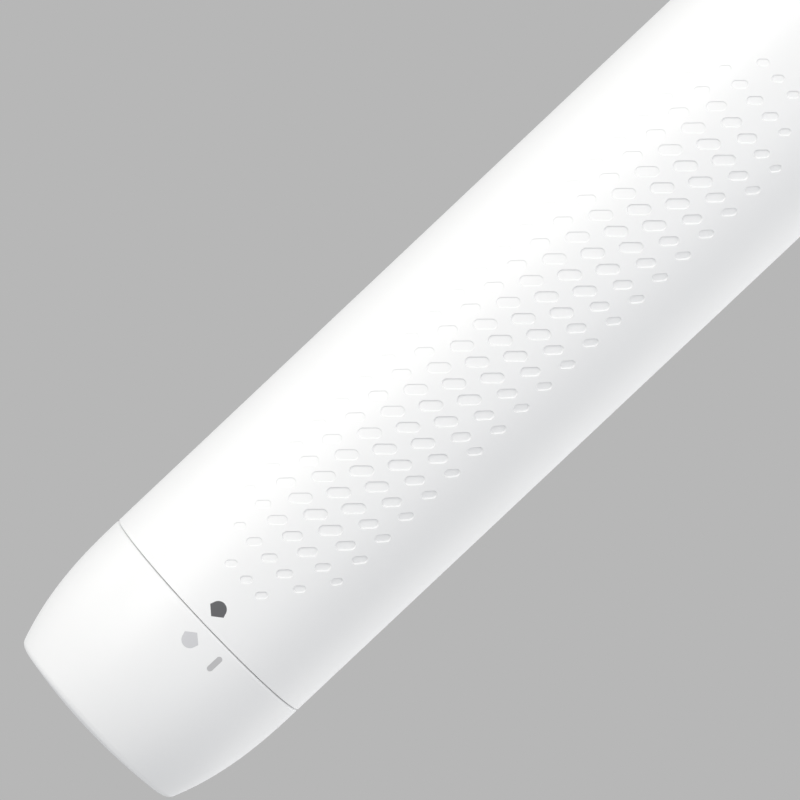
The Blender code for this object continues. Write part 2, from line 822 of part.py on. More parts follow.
def main():
    handle = body_empty("handle", SEAM_Z)
    cap = body_empty("cap", SEAM_Z, handle)
    button = body_empty("button", below_seam(BUTTON_DEPTH), handle)
    tubes = [handle]
    for stage in range(1, len(TUBE_R)):
        tubes.append(body_empty(f"tube_{stage + 1}", TUBE_BOTTOM[stage], tubes[-1]))
    collars = [
        body_empty(f"collar_{stage + 1}", TUBE_BOTTOM[stage], tubes[stage]) for stage in range(3)
    ]
    roller = body_empty("roller", 0, tubes[-1])

    make_grip_shell(handle)
    make_nose_cone(handle)
    make_shaft_socket(handle)
    make_pointer_mark(handle)
    make_end_cap(cap)
    make_cap_marks(cap)
    make_bayonet_ring(cap)
    make_battery_sleeve(handle)
    make_battery_pieces(handle, cap)
    make_electronics(handle, button)
    make_sensors(handle)
    make_tubes(tubes)
    for stage, collar in enumerate(collars):
        make_lock(stage, tubes[stage], collar)
    make_reflective_band(handle)
    make_tip(tubes[-1], roller)


clear_scene()
cane = new_collection("white_cane")
cutters = new_collection("cutters")
main()
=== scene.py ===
"""Looks for a telescopic white cane with an electronic handle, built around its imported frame.

The cane stands on +Z with its tip down. The grip field and the cap's index marks face -Y, and
the button and the sensors face +Y. Lengths are metres, and depths are below the cap's seam.
An angle is measured round the cane from -Y, and grows towards -X.
"""

import json
import math

import bpy
from mathutils import Matrix, Vector


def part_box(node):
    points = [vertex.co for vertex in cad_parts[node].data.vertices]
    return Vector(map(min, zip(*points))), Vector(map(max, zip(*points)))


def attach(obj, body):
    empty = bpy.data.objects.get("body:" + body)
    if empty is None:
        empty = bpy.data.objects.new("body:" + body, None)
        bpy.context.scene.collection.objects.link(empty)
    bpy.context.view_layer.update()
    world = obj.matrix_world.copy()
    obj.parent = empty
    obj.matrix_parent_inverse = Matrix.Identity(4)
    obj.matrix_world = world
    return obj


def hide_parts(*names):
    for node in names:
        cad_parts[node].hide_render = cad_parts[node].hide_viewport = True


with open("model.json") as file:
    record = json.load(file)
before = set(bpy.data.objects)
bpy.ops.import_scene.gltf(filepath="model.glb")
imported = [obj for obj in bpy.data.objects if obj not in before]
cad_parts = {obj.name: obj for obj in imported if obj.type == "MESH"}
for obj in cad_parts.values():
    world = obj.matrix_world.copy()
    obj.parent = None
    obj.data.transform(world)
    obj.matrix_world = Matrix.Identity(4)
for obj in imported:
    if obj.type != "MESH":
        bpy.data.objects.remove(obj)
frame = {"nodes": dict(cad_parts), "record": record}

MM = 0.001
SEAM_Z = (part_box("grip_shell")[1].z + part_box("end_cap")[0].z) / 2
GRIP_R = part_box("grip_shell")[1].x
GRIP_BORE = 14.8 * MM
GRIP_END = SEAM_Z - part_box("grip_shell")[0].z
CAP_HEIGHT = 20.6 * MM
CAP_DROP = 3.25 * MM  # how far the side leans in over that height, with the power of its curve
CAP_POWER = 2.6
CAP_EDGE = 1.3 * MM  # the rim's radius
CAP_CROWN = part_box("end_cap")[1].z - SEAM_Z - CAP_HEIGHT
SEAM_GAP = 0.035 * MM  # each side of the seam plane
SHELL_EDGE = 0.06 * MM  # radius of the grip's end edges
CAP_FOOT = 0.42 * MM  # radius of the cap's edge at the seam
CLOSED_AT = math.radians(1.1)  # the cap's two marks, round the cane
OPEN_AT = math.radians(16.5)
NOSE_SPIGOT = 8 * MM

# Grip field: capsule dimples on a lattice
COLUMNS = 24
ROWS = 7
COLUMN_PITCH = 4.092 * MM
ROW_PITCH = math.radians(9.66)
FIELD_TURN = math.radians(-1.1)
FIRST_COLUMN = 7.895 * MM
DIMPLE_LENGTH = 3.28 * MM
DIMPLE_WIDTHS = [1.47 * MM, 1.33 * MM, 1.18 * MM, 1.04 * MM]  # one for each step
DIMPLE_SHRINK = 0.507 * MM  # in length, at each step into the rim
DIMPLE_SLANT = math.radians(43.3)
DIMPLE_FADE = 0.08  # share of the depth lost at each step into the rim
RIM_STEPS = 3  # dimples get smaller over this many steps, and end beyond them
CELL_ROWS = 8  # mesh rows and columns in one cell of the lattice
CELL_COLUMNS = 6
SIDE_COLUMNS = 28  # mesh columns between the field and the +Y side
BACK_COLUMNS = 24  # mesh columns on the +Y side
TOP_ROWS = 5  # mesh rows between the seam and the field
# Steps down a dimple's wall: distance in from its outline, share of its depth, tilt in degrees
DIMPLE_WALL = [
    (-0.05 * MM, 0, 0),
    (0, 0, 5),
    (0.025 * MM, 0.06, 42),
    (0.055 * MM, 0.33, 68),
    (0.085 * MM, 0.66, 68),
    (0.12 * MM, 0.93, 42),
    (0.165 * MM, 1, 6),
    (0.2 * MM, 1, 0),
]
DIMPLE_DEPTH = 0.23 * MM
FAINT_ROWS = {-3: 0.15, -2: 0.38, -1: 0.6}  # share of the depth, where the field fades out

# Holes on the +Y side: depth, radius, half the straight length, and half the room left for each
HOLES = [
    (72 * MM, 1.4 * MM, 0, 3 * MM),
    (84 * MM, 6.3 * MM, 0, 8 * MM),
    (147 * MM, 7 * MM, 10.3 * MM, 20.5 * MM),
]
HOLES_REACH = math.radians(30)

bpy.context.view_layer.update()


# Meshes


class Skin:
    """A mesh drawn as loops of points, each point with the normal that it is shaded with."""

    def __init__(self):
        self.points = []
        self.normals = []
        self.faces = []
        self.known = {}

    def add(self, point, normal):
        normal = Vector(normal).normalized()
        key = tuple(round(c * 1e7) for c in point) + tuple(round(c * 50) for c in normal)
        if key not in self.known:
            self.known[key] = len(self.points)
            self.points.append(tuple(point))
            self.normals.append(tuple(normal))
        return self.known[key]

    def loop(self, pairs):
        return [self.add(point, normal) for point, normal in pairs]

    def face(self, corners):
        """Adds a face, turned the way that its corners' normals point, unless it has no area."""
        places = [tuple(round(v * 1e7) for v in self.points[c]) for c in corners]
        corners = [c for i, c in enumerate(corners) if places[i] != places[i - 1]]
        if len(corners) < 3:
            return
        middle = [Vector(self.points[c]) for c in corners]
        across = Vector((0, 0, 0))
        for i, point in enumerate(middle):
            across += middle[i - 1].cross(point)
        wanted = sum((Vector(self.normals[c]) for c in corners), Vector((0, 0, 0)))
        self.faces.append(corners if across.dot(wanted) > 0 else corners[::-1])

    def bridge(self, first, second, skip=()):
        """Joins two loops point by point, except at the places to skip."""
        for i in range(len(first)):
            j = (i + 1) % len(first)
            if i not in skip and j not in skip:
                self.face([first[i], first[j], second[j], second[i]])

    def bridge_all(self, loops):
        for first, second in zip(loops, loops[1:]):
            self.bridge(first, second)

    def make(self, name, body, look, *nodes):
        """The finished piece. Its look names a material, and nodes what it replaces."""
        mesh = bpy.data.meshes.new(name)
        mesh.from_pydata(self.points, [], self.faces)
        mesh.polygons.foreach_set("use_smooth", [True] * len(mesh.polygons))
        mesh.normals_split_custom_set_from_vertices(self.normals)
        obj = bpy.data.objects.new(name, mesh)
        bpy.context.scene.collection.objects.link(obj)
        mesh.materials.append(looks[look])
        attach(obj, body)
        if nodes:
            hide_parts(*nodes)
        return obj


def spin(name, profile, body, look, *nodes, sides=128, ripple=None, around="Z", at=0):
    """Turns a profile of (radius, z, normal angle) around the cane, or around +Y at height at.
    The normal angle is measured up from the radial direction. ripple changes a radius by side."""
    skin = Skin()
    loops = []
    for radius, z, tilt in profile:
        pairs = []
        for i in range(sides):
            angle = math.tau * i / sides
            r = radius + (ripple(angle, z, radius) if ripple else 0)
            out = (math.cos(angle), math.sin(angle))
            point = (r * out[0], r * out[1], z)
            normal = (math.cos(tilt) * out[0], math.cos(tilt) * out[1], math.sin(tilt))
            if around == "Y":
                point = (point[1], point[2], at + point[0])
                normal = (normal[1], normal[2], normal[0])
            pairs.append((point, normal))
        loops.append(skin.loop(pairs))
    skin.bridge_all(loops)
    return skin.make(name, body, look, *nodes)


NO_TURN = 0.02  # radians
SHARP_TURN = 0.4


def rounded(corners, closed=True, steps=4):
    """A profile for spin from corners of (radius, z, fillet), listed up the outer side.
    Straight runs keep their own normal, and each fillet turns from one to the next."""
    count = len(corners)
    profile = []
    for i, (r, z, fillet) in enumerate(corners):
        here = Vector((r, z))
        before = Vector(corners[i - 1][:2]) if closed or i else None
        after = Vector(corners[(i + 1) % count][:2]) if closed or i < count - 1 else None
        into = (here - before).normalized() if before else (after - here).normalized()
        away = (after - here).normalized() if after else into
        first = math.atan2(-into.x, into.y)
        turn = math.atan2(into.x * away.y - into.y * away.x, into.dot(away))
        if fillet <= 0 or abs(turn) < NO_TURN:
            tilts = (first, first + turn) if abs(turn) > SHARP_TURN else (first + turn / 2,)
            profile += [(r, z, tilt) for tilt in tilts]
            continue
        reach = min(fillet * math.tan(abs(turn) / 2), (here - before).length * 0.49)
        reach = min(reach, (after - here).length * 0.49)
        radius = reach / math.tan(abs(turn) / 2)
        side = 1 if turn > 0 else -1
        centre = here - into * reach + Vector((-into.y, into.x)) * radius * side
        for k in range(steps + 1):
            tilt = first + turn * k / steps
            place = centre + Vector((math.cos(tilt), math.sin(tilt))) * radius * side
            profile.append((place.x, place.y, tilt))
    if closed:
        profile.append(profile[0])
    return profile


def arc(radius, start, end, steps, centre=(0, 0)):
    angles = [math.radians(start + (end - start) * i / steps) for i in range(steps + 1)]
    return [
        (centre[0] + radius * math.cos(a), centre[1] + radius * math.sin(a)) for a in angles
    ]


# Looks


class Look:
    """Builds one material. Every pattern is in object space, so it stays on a piece that moves."""

    def __init__(self, name, colour, roughness, metallic=0.0, **sockets):
        self.material = bpy.data.materials.new(name)
        self.material.use_nodes = True
        self.nodes = self.material.node_tree.nodes
        self.links = self.material.node_tree.links
        self.shader = self.nodes["Principled BSDF"]
        self.shader.inputs["Base Color"].default_value = (*colour, 1)
        self.shader.inputs["Roughness"].default_value = roughness
        self.shader.inputs["Metallic"].default_value = metallic
        for socket, value in sockets.items():
            self.shader.inputs[socket.replace("_", " ")].default_value = value
        self.place = self.nodes.new("ShaderNodeTexCoord").outputs["Object"]
        self.height = None

    def noise(self, size, detail=3, stretch=(1, 1, 1)):
        """Noise with blotches of about the given size in metres. stretch scales each axis."""
        mapping = self.nodes.new("ShaderNodeMapping")
        mapping.inputs["Scale"].default_value = stretch
        self.links.new(self.place, mapping.inputs["Vector"])
        node = self.nodes.new("ShaderNodeTexNoise")
        node.inputs["Scale"].default_value = 1 / size
        node.inputs["Detail"].default_value = detail
        self.links.new(mapping.outputs["Vector"], node.inputs["Vector"])
        return node.outputs["Fac"]

    def ramp(self, value, stops):
        """Maps a value through stops of (position, grey or colour)."""
        node = self.nodes.new("ShaderNodeValToRGB")
        band = node.color_ramp
        while len(band.elements) < len(stops):
            band.elements.new(0.5)
        for element, (position, level) in zip(band.elements, stops):
            element.position = position
            colour = (level,) * 3 if isinstance(level, (int, float)) else level
            element.color = (*colour, 1)
        self.links.new(value, node.inputs["Fac"])
        return node.outputs["Color"]

    def maths(self, operation, first, second):
        node = self.nodes.new("ShaderNodeMath")
        node.operation = operation
        for socket, value in zip(node.inputs, (first, second)):
            if isinstance(value, (int, float)):
                socket.default_value = value
            else:
                self.links.new(value, socket)
        return node.outputs["Value"]

    def tint(self, value, low, high):
        """Colours the surface from one colour to another as value goes from 0 to 1. If low is
        None, it is what the surface already has."""
        node = self.nodes.new("ShaderNodeMix")
        node.data_type = "RGBA"
        self.links.new(value, node.inputs["Factor"])
        base = self.shader.inputs["Base Color"]
        if low:
            node.inputs["A"].default_value = (*low, 1)
        else:
            self.links.new(base.links[0].from_socket, node.inputs["A"])
        node.inputs["B"].default_value = (*high, 1)
        self.links.new(node.outputs["Result"], base)
        return self

    def over(self, value, colour):
        """Lays a second colour over what the surface has, where value is 1."""
        return self.tint(value, None, colour)

    def gloss(self, value, low, high):
        node = self.nodes.new("ShaderNodeMapRange")
        node.inputs["To Min"].default_value = low
        node.inputs["To Max"].default_value = high
        self.links.new(value, node.inputs["Value"])
        self.links.new(node.outputs["Result"], self.shader.inputs["Roughness"])
        return self

    def bump(self, value, depth, strength=1.0):
        """Adds a relief of the given depth in metres."""
        node = self.nodes.new("ShaderNodeBump")
        node.inputs["Distance"].default_value = depth
        node.inputs["Strength"].default_value = strength
        self.links.new(value, node.inputs["Height"])
        if self.height:
            self.links.new(self.height, node.inputs["Normal"])
        self.height = node.outputs["Normal"]
        self.links.new(self.height, self.shader.inputs["Normal"])
        return self

    def cells(self, size):
        """The distance to the nearest edge between cells of about the given size."""
        node = self.nodes.new("ShaderNodeTexVoronoi")
        node.feature = "DISTANCE_TO_EDGE"
        node.inputs["Scale"].default_value = 1 / size
        self.links.new(self.place, node.inputs["Vector"])
        return node.outputs["Distance"]

    def along(self, axis):
        node = self.nodes.new("ShaderNodeSeparateXYZ")
        self.links.new(self.place, node.inputs["Vector"])
        return node.outputs[axis]

    def band(self, low, high):
        """0 at one height and 1 at another."""
        node = self.nodes.new("ShaderNodeMapRange")
        node.inputs["From Min"].default_value = low
        node.inputs["From Max"].default_value = high
        self.links.new(self.along("Z"), node.inputs["Value"])
        return node.outputs["Result"]


def moulded(name, colour, roughness, grain, depth, shift, specular=0.5):
    """Moulded plastic: a fine spark-eroded grain, and a slow drift of tone and gloss."""
    look = Look(name, colour, roughness, Specular_IOR_Level=specular)
    look.tint(look.noise(0.03, 2), tuple(c * (1 - shift) for c in colour), colour)
    look.gloss(look.noise(0.006, 4), roughness - 0.04, roughness + 0.05)
    look.bump(look.noise(grain, 2), depth, 0.6)
    return look.material


# Name, colour, roughness, size and depth of the grain in metres, share of drift, specular level
PLASTICS = {
    "white_shell": ("shell_white", (0.906, 0.907, 0.91), 0.40, 0.00018, 0.0000012, 0.012, 0.42),
    "dark_ink": ("dark_ink", (0.12, 0.121, 0.128), 0.5, 0.00025, 0.000003, 0.08),
    "grey_ink": ("grey_ink", (0.66, 0.66, 0.68), 0.5, 0.00025, 0.000003, 0.08),
    "bar_ink": ("bar_ink", (0.555, 0.55, 0.56), 0.5, 0.00025, 0.000003, 0.08),
    "grey_nylon": ("nylon_grey", (0.115, 0.118, 0.125), 0.46, 0.0004, 0.000012, 0.18),
    "button_grey": ("button_grey", (0.19, 0.193, 0.2), 0.42, 0.0004, 0.00001, 0.1),
    "white_nylon": ("nylon_white", (0.80, 0.80, 0.77), 0.42, 0.0005, 0.000008, 0.04),
    "black_plastic": ("gloss_black", (0.012, 0.012, 0.014), 0.16, 0.0006, 0.0000015, 0.2),
    "rubber": ("rubber_black", (0.02, 0.02, 0.02), 0.75, 0.0003, 0.00002, 0.2),
    "cell_wrap": ("cell_wrap", (0.04, 0.22, 0.30), 0.28, 0.003, 0.00002, 0.1),
}


def make_looks():
    return {
        **{look: moulded(*numbers) for look, numbers in PLASTICS.items()},
        "white_tube": lacquer("tube_white", (0.86, 0.86, 0.85), (0.55, 0.54, 0.52)),
        "red_tube": lacquer("tube_red", (0.56, 0.012, 0.014), (0.22, 0.03, 0.03)),
        "reflective": reflective_film(),
        "roller": worn_nylon(),
        "steel": brushed("steel", (0.56, 0.56, 0.58), 0.3),
        "brass": brushed("brass", (0.72, 0.52, 0.22), 0.28),
        "board_green": circuit_board(),
        "light_pipe": light_pipe(),
        "sensor_mesh": sensor_mesh(),
    }


def circuit_board():
    look = Look("board_green", (0.015, 0.14, 0.06), 0.4)
    tracks = look.ramp(look.cells(0.0016), [(0.05, 1.0), (0.12, 0.0)])
    look.tint(tracks, (0.012, 0.12, 0.05), (0.03, 0.24, 0.11)).bump(tracks, 0.00003)
    return look.material


def light_pipe():
    look = Look("light_pipe", (0.62, 0.82, 0.70), 0.12, Transmission_Weight=0.35)
    look.gloss(look.noise(0.0006, 2), 0.1, 0.22)
    look.shader.inputs["Emission Color"].default_value = (0.15, 0.9, 0.4, 1)
    look.shader.inputs["Emission Strength"].default_value = 0.25
    return look.material


def lacquer(name, colour, worn):
    """Lacquered aluminium: orange peel, slow tone drift, and fine rubbed lines along the tube."""
    look = Look(name, colour, 0.24, Coat_Weight=0.35, Coat_Roughness=0.12)
    look.tint(look.noise(0.05, 2), tuple(c * 0.965 for c in colour), colour)
    lines = look.ramp(look.noise(0.0012, 4, (1, 1, 0.02)), [(0.66, 0.0), (0.74, 0.35)])
    look.over(lines, worn)
    look.gloss(look.noise(0.004, 5, (1, 1, 0.1)), 0.18, 0.36)
    look.bump(look.noise(0.0016, 2), 0.00001, 0.5)
    return look.material


def brushed(name, colour, roughness):
    look = Look(name, colour, roughness, 1.0)
    look.tint(look.noise(0.004, 3), tuple(c * 0.85 for c in colour), colour)
    lines = look.noise(0.0004, 4, (1, 1, 0.05))
    look.gloss(lines, roughness - 0.08, roughness + 0.15).bump(lines, 0.000004)
    return look.material


def reflective_film():
    """Retroreflective film: a honeycomb of sealed cells over tiny prisms."""
    look = Look("reflective_film", (0.74, 0.77, 0.80), 0.22, 0.35, Coat_Weight=0.8)
    prisms = look.cells(0.0004)
    seams = look.ramp(look.cells(0.0032), [(0.03, 1.0), (0.07, 0.0)])
    look.tint(prisms, (0.5, 0.53, 0.57), (0.86, 0.88, 0.9)).over(seams, (0.9, 0.9, 0.9))
    look.gloss(prisms, 0.16, 0.5).bump(prisms, 0.00004).bump(seams, 0.00005)
    return look.material


def worn_nylon():
    """The rolling tip: white nylon, scuffed and greyed towards the end that meets the ground."""
    look = Look("roller_nylon", (0.84, 0.84, 0.81), 0.42)
    look.tint(look.noise(0.01, 3), (0.79, 0.79, 0.755), (0.85, 0.85, 0.825))
    low = look.band(0.012, 0.0)
    patches = look.ramp(look.noise(0.0014, 6), [(0.42, 0.0), (0.66, 1)])
    scuffs = look.maths("MULTIPLY", low, patches)
    look.over(scuffs, (0.27, 0.26, 0.245))
    rings = look.ramp(look.noise(0.0009, 4, (0.1, 0.1, 1)), [(0.62, 0.0), (0.7, 0.5)])
    look.over(look.maths("MULTIPLY", look.band(0.03, 0.01), rings), (0.5, 0.49, 0.47))
    look.gloss(scuffs, 0.38, 0.7)
    look.bump(scuffs, -0.00008).bump(look.noise(0.0006, 3), 0.00001)
    return look.material


def sensor_mesh():
    """The woven front of a sensor can."""
    look = Look("sensor_mesh", (0.32, 0.33, 0.34), 0.36, 0.9)
    wires = []
    for axis in ("X", "Z"):
        wave = look.maths("SINE", look.maths("MULTIPLY", look.along(axis), math.tau / 0.00045), 0)
        wires.append(look.maths("ABSOLUTE", wave, 0))
    weave = look.maths("MAXIMUM", wires[0], wires[1])
    holes = look.ramp(weave, [(0.45, 0.0), (0.75, 1.0)])
    look.tint(holes, (0.015, 0.015, 0.017), (0.5, 0.51, 0.53)).bump(weave, 0.00008)
    return look.material


# Handle


def around(angle, radius, z):
    """The point and the outward normal at an angle round the cane."""
    out = (-math.sin(angle), -math.cos(angle), 0)
    return (radius * out[0], radius * out[1], z), out


def leaning(angle, radius, z, side, down, tilt):
    """A point on the handle whose normal leans from straight out towards (side, down)."""
    point, out = around(angle, radius, z)
    lean = Vector((-math.cos(angle) * side, math.sin(angle) * side, -down)).normalized()
    normal = Vector(out) * math.cos(tilt) + lean * math.sin(tilt)
    return point, normal


def capsule(length, width):
    """A capsule's outline as (point, outward direction), its long side on the first axis."""
    middle = (length - width) / 2
    outline = []
    for end in (1, -1):
        turn = 0 if end == 1 else 180
        for x, y in arc(1, turn - 90, turn + 90, 10):
            outline.append(((end * middle + x * width / 2, y * width / 2), (x, y)))
        for k in (1, 2, 3):
            across = end * width / 2
            outline.append(((end * middle * (1 - k / 2), across), (0, end)))
    return outline


def cell_border(left, right, top, bottom, across, down):
    """A rectangle's border as (angle, depth), from its top left corner, in equal steps."""
    border = [(left + (right - left) * i / across, top) for i in range(across)]
    border += [(right, top + (bottom - top) * i / down) for i in range(down)]
    border += [(right + (left - right) * i / across, bottom) for i in range(across)]
    border += [(left, bottom + (top - bottom) * i / down) for i in range(down)]
    return border


def dimple_steps(column, row):
    """How far a place in the lattice lies into the field's tapered rim."""
    return max(RIM_STEPS - min(column, COLUMNS - 1 - column), 0) + max(abs(row) - 1, 0)


def add_dimple(skin, left, top, steps, faint):
    """One cell of the lattice with its slanted dimple, pressed into the shell."""
    right = left + ROW_PITCH
    bottom = top + COLUMN_PITCH
    border = cell_border(left, right, top, bottom, CELL_COLUMNS, CELL_ROWS)
    angle = (left + right) / 2
    depth = (top + bottom) / 2
    outline = capsule(DIMPLE_LENGTH - DIMPLE_SHRINK * steps, DIMPLE_WIDTHS[steps])
    along = (math.sin(DIMPLE_SLANT), math.cos(DIMPLE_SLANT))
    placed = []
    for pair in outline:
        placed.append([(x * along[0] - y * along[1], x * along[1] + y * along[0]) for x, y in pair])
    flat = [((a - angle) * GRIP_R, d - depth) for a, d in border]
    start = nearest_start(flat, [place for place, _ in placed])
    placed = placed[start:] + placed[:start]
    loops = [skin.loop(around(a, GRIP_R, SEAM_Z - d) for a, d in border)]
    deep = DIMPLE_DEPTH * (1 - DIMPLE_FADE * steps) * faint
    for inset, share, tilt in DIMPLE_WALL:
        ring = []
        for (side, down), (lean_side, lean_down) in placed:
            a = angle + (side - lean_side * inset) / GRIP_R
            z = SEAM_Z - depth - down + lean_down * inset
            radius = GRIP_R - deep * share
            tilted = math.atan(math.tan(math.radians(tilt)) * faint)
            ring.append(leaning(a, radius, z, -lean_side, -lean_down, tilted))
        loops.append(skin.loop(ring))
    skin.bridge_all(loops)
    floor = loops[-1]
    half = len(floor) // 2
    for i in range(half - 1):
        skin.face([floor[i], floor[i + 1], floor[-i - 2], floor[-i - 1]])


def nearest_start(border, outline):
    """Where to start the outline, so that its points face those of the border."""

    def spare(start):
        turned = outline[start:] + outline[:start]
        return sum((x - u) ** 2 + (y - v) ** 2 for (x, y), (u, v) in zip(border, turned))

    return min(range(len(outline)), key=spare)


def hole_outline(radius, straight, border):
    """The outline of a hole with round ends and a straight part of twice the given length, with
    one point in the direction of each border point."""
    outline = []
    for x, y in border:
        length = math.hypot(x, y)
        dx, dy = x / length, y / length
        low, high = 0.0, radius + straight
        for _ in range(40):
            middle = (low + high) / 2
            beyond = max(abs(dy * middle) - straight, 0)
            inside = math.hypot(dx * middle, beyond) < radius
            low, high = (middle, high) if inside else (low, middle)
        px, py = dx * low, dy * low
        out = Vector((px, py - max(-straight, min(straight, py)))).normalized()
        outline.append(((px, py), (out.x, out.y)))
    return outline


def back_angle(x, radius):
    """The angle of a point at distance x to the side of the +Y line."""
    return math.pi + math.asin(max(-1, min(1, x / radius)))


def add_hole(skin, border, depth, radius, straight):
    """A hole through the shell on its +Y side, with a small radius on its outer edge."""
    flat = [(GRIP_R * (a - math.pi), d - depth) for a, d in border]
    outline = hole_outline(radius, straight, flat)
    rings = 10  # between the hole's edge and its border
    loops = []
    for k in range(rings):
        share = k / rings
        ring = []
        for (a, d), ((x, y), (out_x, out_y)) in zip(border, outline):
            edge = back_angle(x + out_x * 0.2 * MM, GRIP_R)
            rim = depth + y + out_y * 0.2 * MM
            ring.append(around(a + (edge - a) * share, GRIP_R, SEAM_Z - d - (rim - d) * share))
        loops.append(skin.loop(ring))
    for grow, sink, tilt in ((0.2, 0, 0), (0.1, 0.025, 30), (0.02, 0.1, 70), (0, 0.25, 90)):
        ring = []
        for (x, y), (out_x, out_y) in outline:
            surface = GRIP_R - sink * MM
            a = back_angle(x + out_x * grow * MM, surface)
            z = SEAM_Z - depth - y - out_y * grow * MM
            ring.append(leaning(a, surface, z, -out_x, -out_y, math.radians(tilt)))
        loops.append(skin.loop(ring))
    wall = []
    inside = []
    for (x, y), (out_x, out_y) in outline:
        a = back_angle(x, GRIP_BORE)
        z = SEAM_Z - depth - y
        wall.append(leaning(a, GRIP_BORE, z, -out_x, -out_y, math.radians(90)))
        point, out = around(a, GRIP_BORE, z)
        inside.append((point, -Vector(out)))
    loops.append(skin.loop(wall))
    skin.bridge_all(loops)
    loops = [skin.loop(inside)]
    for k in range(rings - 1, -1, -1):
        share = k / rings
        ring = []
        for (a, d), (point, _) in zip(border, inside):
            edge = math.pi + math.asin(point[0] / GRIP_BORE)
            z = SEAM_Z - d + (point[2] - SEAM_Z + d) * share
            place, out = around(a + (edge - a) * share, GRIP_BORE, z)
            ring.append((place, -Vector(out)))
        loops.append(skin.loop(ring))
    skin.bridge_all(loops)


def spread(start, end, count):
    return [start + (end - start) * i / count for i in range(count)]


def make_grip():
    """The shell: the dimple lattice in front, three openings behind, and plain grip between."""
    skin = Skin()
    left = FIELD_TURN - ROW_PITCH * ROWS / 2
    right = FIELD_TURN + ROW_PITCH * ROWS / 2
    back = (math.pi - HOLES_REACH, math.pi + HOLES_REACH)
    angles = spread(left, right, ROWS * CELL_COLUMNS) + spread(right, back[0], SIDE_COLUMNS)
    angles += spread(back[0], back[1], BACK_COLUMNS)
    angles += spread(back[1], left + math.tau, SIDE_COLUMNS)
    angles.append(left + math.tau)
    field_top = FIRST_COLUMN - COLUMN_PITCH / 2
    field_end = field_top + COLUMN_PITCH * COLUMNS
    first = SEAM_GAP + SHELL_EDGE
    last = GRIP_END - SHELL_EDGE
    depths = spread(first, field_top, TOP_ROWS)
    depths += spread(field_top, field_end, COLUMNS * CELL_ROWS)
    depths += spread(field_end, last, 60) + [last]
    back_column = ROWS * CELL_COLUMNS + SIDE_COLUMNS
    holes = []
    for depth, radius, straight, margin in HOLES:
        rows = [min(range(len(depths)), key=lambda i, d=d: abs(depths[i] - d))
                for d in (depth - margin, depth + margin)]
        holes.append((depth, radius, straight, rows))
    for i in range(len(depths) - 1):
        for j in range(len(angles) - 1):
            in_back = back_column <= j < back_column + BACK_COLUMNS
            if in_back and any(rows[0] <= i < rows[1] for *_, rows in holes):
                continue
            corners = [(i, j), (i, j + 1), (i + 1, j + 1), (i + 1, j)]
            ring = [around(angles[c], GRIP_BORE, SEAM_Z - depths[r]) for r, c in corners]
            skin.face(skin.loop((point, -Vector(out)) for point, out in ring))
            column = (i - TOP_ROWS) // CELL_ROWS
            row = j // CELL_COLUMNS - ROWS // 2
            in_field = 0 <= column < COLUMNS and j < ROWS * CELL_COLUMNS
            if in_field and dimple_steps(column, row) <= RIM_STEPS:
                continue
            ring = [around(angles[c], GRIP_R, SEAM_Z - depths[r]) for r, c in corners]
            skin.face(skin.loop(ring))
    for column in range(COLUMNS):
        for row in range(ROWS):
            steps = dimple_steps(column, row - ROWS // 2)
            if steps <= RIM_STEPS:
                corner = field_top + column * COLUMN_PITCH
                faint = FAINT_ROWS.get(row - ROWS // 2, 1)
                add_dimple(skin, left + row * ROW_PITCH, corner, steps, faint)
    for depth, radius, straight, rows in holes:
        width = angles[back_column : back_column + BACK_COLUMNS + 1]
        border = hole_border(width, depths[rows[0] : rows[1] + 1])
        add_hole(skin, border, depth, radius, straight)
    for row, side in ((first, 1), (last, -1)):
        close_end(skin, angles[:-1], SEAM_Z - row, side)
    return skin.make("grip_shell_skin", "handle", "white_shell", "grip_shell")


def hole_border(angles, depths):
    border = [(a, depths[0]) for a in angles[:-1]] + [(angles[-1], d) for d in depths[:-1]]
    border += [(a, depths[-1]) for a in angles[:0:-1]] + [(angles[0], d) for d in depths[:0:-1]]
    return border


def close_end(skin, angles, z, side):
    """Rounds the outer edge of the shell's end and closes its wall."""
    loops = []
    for k in range(4):
        tilt = math.radians(30 * k)
        radius = GRIP_R - SHELL_EDGE * (1 - math.cos(tilt))
        height = z + side * SHELL_EDGE * math.sin(tilt)
        loops.append(skin.loop(leaning(a, radius, height, 0, -side, tilt) for a in angles))
    for radius in (GRIP_R - SHELL_EDGE, GRIP_BORE):
        end = z + side * SHELL_EDGE
        loops.append(skin.loop((around(a, radius, end)[0], (0, 0, side)) for a in angles))
    bore = []
    for height in (z + side * SHELL_EDGE, z):
        ring = [around(a, GRIP_BORE, height) for a in angles]
        bore.append(skin.loop((point, -Vector(out)) for point, out in ring))
    skin.bridge_all(loops)
    skin.bridge_all(bore)


def cap_radius(height):
    return GRIP_R - CAP_DROP * (max(height, 0) / CAP_HEIGHT) ** CAP_POWER


def cap_tilt(height):
    """How far the cap's surface leans up from radial at a height."""
    slope = CAP_DROP * CAP_POWER / CAP_HEIGHT * (max(height, 0) / CAP_HEIGHT) ** (CAP_POWER - 1)
    return math.atan(slope)


def in_metres(rows, z):
    """A profile for spin from rows of (radius in mm, mm above z, normal angle in degrees)."""
    return [(r * MM, z + height * MM, math.radians(tilt)) for r, height, tilt in rows]


